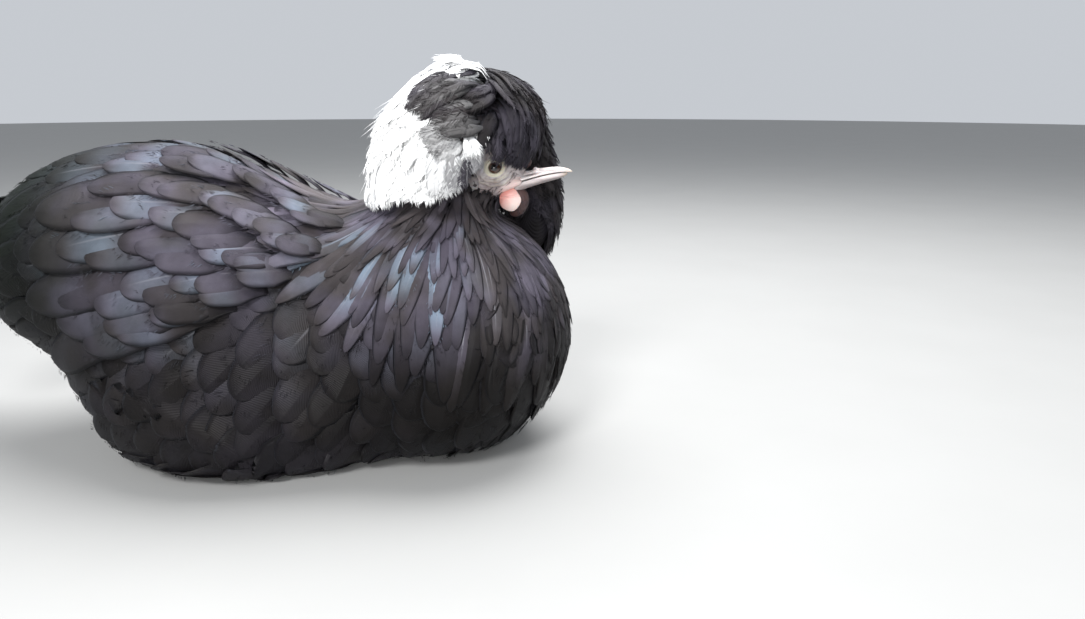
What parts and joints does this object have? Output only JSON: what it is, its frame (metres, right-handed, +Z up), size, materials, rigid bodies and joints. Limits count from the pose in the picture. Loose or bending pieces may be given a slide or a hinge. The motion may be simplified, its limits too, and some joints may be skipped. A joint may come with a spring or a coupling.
{
  "type": "crested hen, still model",
  "caption": "Life-size still model of a crested hen at rest, body on the floor, with a full feather crest, folded wings, drooping tail and tucked feet.",
  "frame": {"origin": "on the floor under the middle of the body, on the flat underside of the torso", "axes": "+X from tail to beak, +Y to the bird's left, +Z up; the bird's right side faces -Y"},
  "size_m": [0.4379, 0.2126, 0.2365],
  "materials": {
    "black_plumage": "soft black feathers with a violet and steel-blue sheen",
    "white_plumage": "soft white crest feathers, black at the brow",
    "face_skin": "thin grey skin with fine dark bristles",
    "eye": "wet gloss",
    "earlobe": "matt white skin",
    "bill_horn": "smooth pinkish horn",
    "wattle_skin": "grained pink-red skin",
    "slate_scale": "slate scales",
    "claw_horn": "dull horn"
  },
  "bodies": {
    "root": {"torso": "black_plumage", "neck": "black_plumage", "tail": "black_plumage", "wing_right": "black_plumage", "wing_left": "black_plumage", "thigh_right": "black_plumage", "thigh_left": "black_plumage", "crest": "white_plumage", "head": "face_skin", "eye_right": "eye", "eye_left": "eye", "earlobe_right": "earlobe", "earlobe_left": "earlobe", "bill_upper": "bill_horn", "bill_lower": "bill_horn", "comb": "wattle_skin", "wattle_right": "wattle_skin", "wattle_left": "wattle_skin", "shank_right": "slate_scale", "shank_left": "slate_scale", "foot_right": "slate_scale", "foot_left": "slate_scale", "claw_middle_right": "claw_horn", "claw_inner_right": "claw_horn", "claw_outer_right": "claw_horn", "claw_rear_right": "claw_horn", "claw_middle_left": "claw_horn", "claw_inner_left": "claw_horn", "claw_outer_left": "claw_horn", "claw_rear_left": "claw_horn"}
  },
  "joints": []
}
